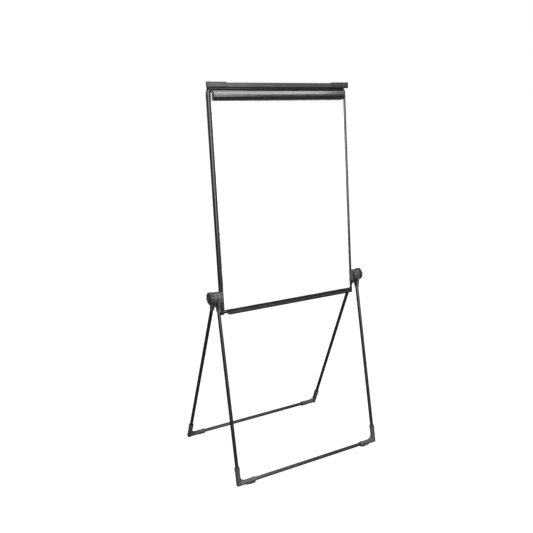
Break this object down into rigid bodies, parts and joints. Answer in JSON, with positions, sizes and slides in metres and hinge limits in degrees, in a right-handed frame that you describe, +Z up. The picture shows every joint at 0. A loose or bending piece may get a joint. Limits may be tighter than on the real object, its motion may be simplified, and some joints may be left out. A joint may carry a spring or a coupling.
{
  "type": "flipchart easel",
  "caption": "Folding flipchart easel: whiteboard in a tube frame with a spring clamp, marker tray and display arms, on two U-shaped leg frames locked by side knobs.",
  "frame": {"origin": "on the floor, at the middle of the space the open easel takes up from above; the pivot axis runs 65 mm in front of it", "axes": "+X to the right of a person facing the board, +Y to the back, +Z up; the easel stands open on its four feet"},
  "size_m": [0.8242, 0.5318, 1.7465],
  "materials": {
    "painted_tube": "semi-gloss black powder coat on steel tube",
    "painted_sheet": "satin black powder coat on folded sheet",
    "clamp_metal": "semi-gloss charcoal paint",
    "rail_metal": "satin charcoal paint",
    "arm_aluminium": "plain extruded aluminium",
    "whiteboard": "glossy white dry-erase coating",
    "hardboard": "brown hardboard, smooth",
    "edge_trim": "black edge band",
    "dark_steel": "black oxide steel",
    "zinc_steel": "zinc-plated steel",
    "spring_steel": "oiled spring steel",
    "black_rubber": "matte black rubber",
    "satin_plastic": "satin black moulded plastic",
    "moulded_plastic": "fine-textured charcoal moulded plastic",
    "knob_plastic": "textured black moulded plastic",
    "nylon": "natural nylon",
    "fibre_washer": "dark fibre"
  },
  "bodies": {
    "board": {"frame_tube": "painted_tube", "frame_plugs": "satin_plastic", "board_core": "hardboard", "writing_surface": "whiteboard", "panel_edge_trim": "edge_trim", "panel_clips": "dark_steel", "clip_screws": "dark_steel", "marker_tray": "painted_sheet", "tray_screws": "dark_steel", "clamp_base": "painted_sheet", "clamp_base_screws": "dark_steel", "clamp_springs": "spring_steel", "top_rail": "rail_metal", "rail_bracket_left": "satin_plastic", "rail_bracket_right": "satin_plastic", "bracket_screws": "dark_steel", "hub_saddle_left": "moulded_plastic", "hub_saddle_right": "moulded_plastic", "rivet_nuts": "zinc_steel", "friction_washers": "fibre_washer", "knob_washers": "zinc_steel"},
    "clamp": {"clamp_bar": "clamp_metal", "clamp_grip_strip": "black_rubber", "clamp_end_cap_left": "satin_plastic", "clamp_end_cap_right": "satin_plastic", "hinge_pins": "zinc_steel"},
    "left_arm": {"display_arm_left": "arm_aluminium", "arm_grip_left": "satin_plastic", "arm_glide_left": "nylon"},
    "right_arm": {"display_arm_right": "arm_aluminium", "arm_grip_right": "satin_plastic", "arm_glide_right": "nylon"},
    "front_legs": {"front_foot_left": "moulded_plastic", "front_foot_pads": "black_rubber", "front_foot_right": "moulded_plastic", "front_footbar": "painted_tube", "front_hub_left": "moulded_plastic", "front_hub_right": "moulded_plastic", "front_leg_left": "painted_tube", "front_leg_right": "painted_tube", "front_rivets": "zinc_steel"},
    "rear_legs": {"rear_foot_left": "moulded_plastic", "rear_foot_pads": "black_rubber", "rear_foot_right": "moulded_plastic", "rear_footbar": "painted_tube", "rear_hub_left": "moulded_plastic", "rear_hub_right": "moulded_plastic", "rear_leg_left": "painted_tube", "rear_leg_right": "painted_tube", "rear_rivets": "zinc_steel"},
    "left_knob": {"knob_left": "knob_plastic", "knob_bolt_left": "zinc_steel", "knob_cap_left": "knob_plastic"},
    "right_knob": {"knob_right": "knob_plastic", "knob_bolt_right": "zinc_steel", "knob_cap_right": "knob_plastic"}
  },
  "joints": [
    {"name": "front_leg_fold", "type": "hinge", "parent": "board", "child": "front_legs", "pos_m": [0, -0.06528, 0.828], "axis": [-1, 0, 0], "range_deg": [-16, 168]},
    {"name": "rear_leg_fold", "type": "hinge", "parent": "board", "child": "rear_legs", "pos_m": [0, -0.06528, 0.828], "axis": [1, 0, 0], "range_deg": [-16, 149]},
    {"name": "clamp_open", "type": "hinge", "parent": "board", "child": "clamp", "pos_m": [0, 0.01253, 1.70171], "axis": [-1, 0, 0], "range_deg": [0, 34], "stiffness_Nm_per_rad": 0.4, "springref_deg": -20.05},
    {"name": "left_arm_slide", "type": "slide", "parent": "board", "child": "left_arm", "axis": [-1, 0, 0], "range_m": [0, 0.28]},
    {"name": "right_arm_slide", "type": "slide", "parent": "board", "child": "right_arm", "axis": [1, 0, 0], "range_m": [0, 0.28]},
    {"name": "left_knob_turn", "type": "hinge", "parent": "board", "child": "left_knob", "pos_m": [-0.404, -0.06528, 0.828], "axis": [-1, 0, 0], "range_deg": [0, 270]},
    {"name": "right_knob_turn", "type": "hinge", "parent": "board", "child": "right_knob", "pos_m": [0.404, -0.06528, 0.828], "axis": [1, 0, 0], "range_deg": [0, 270]}
  ]
}
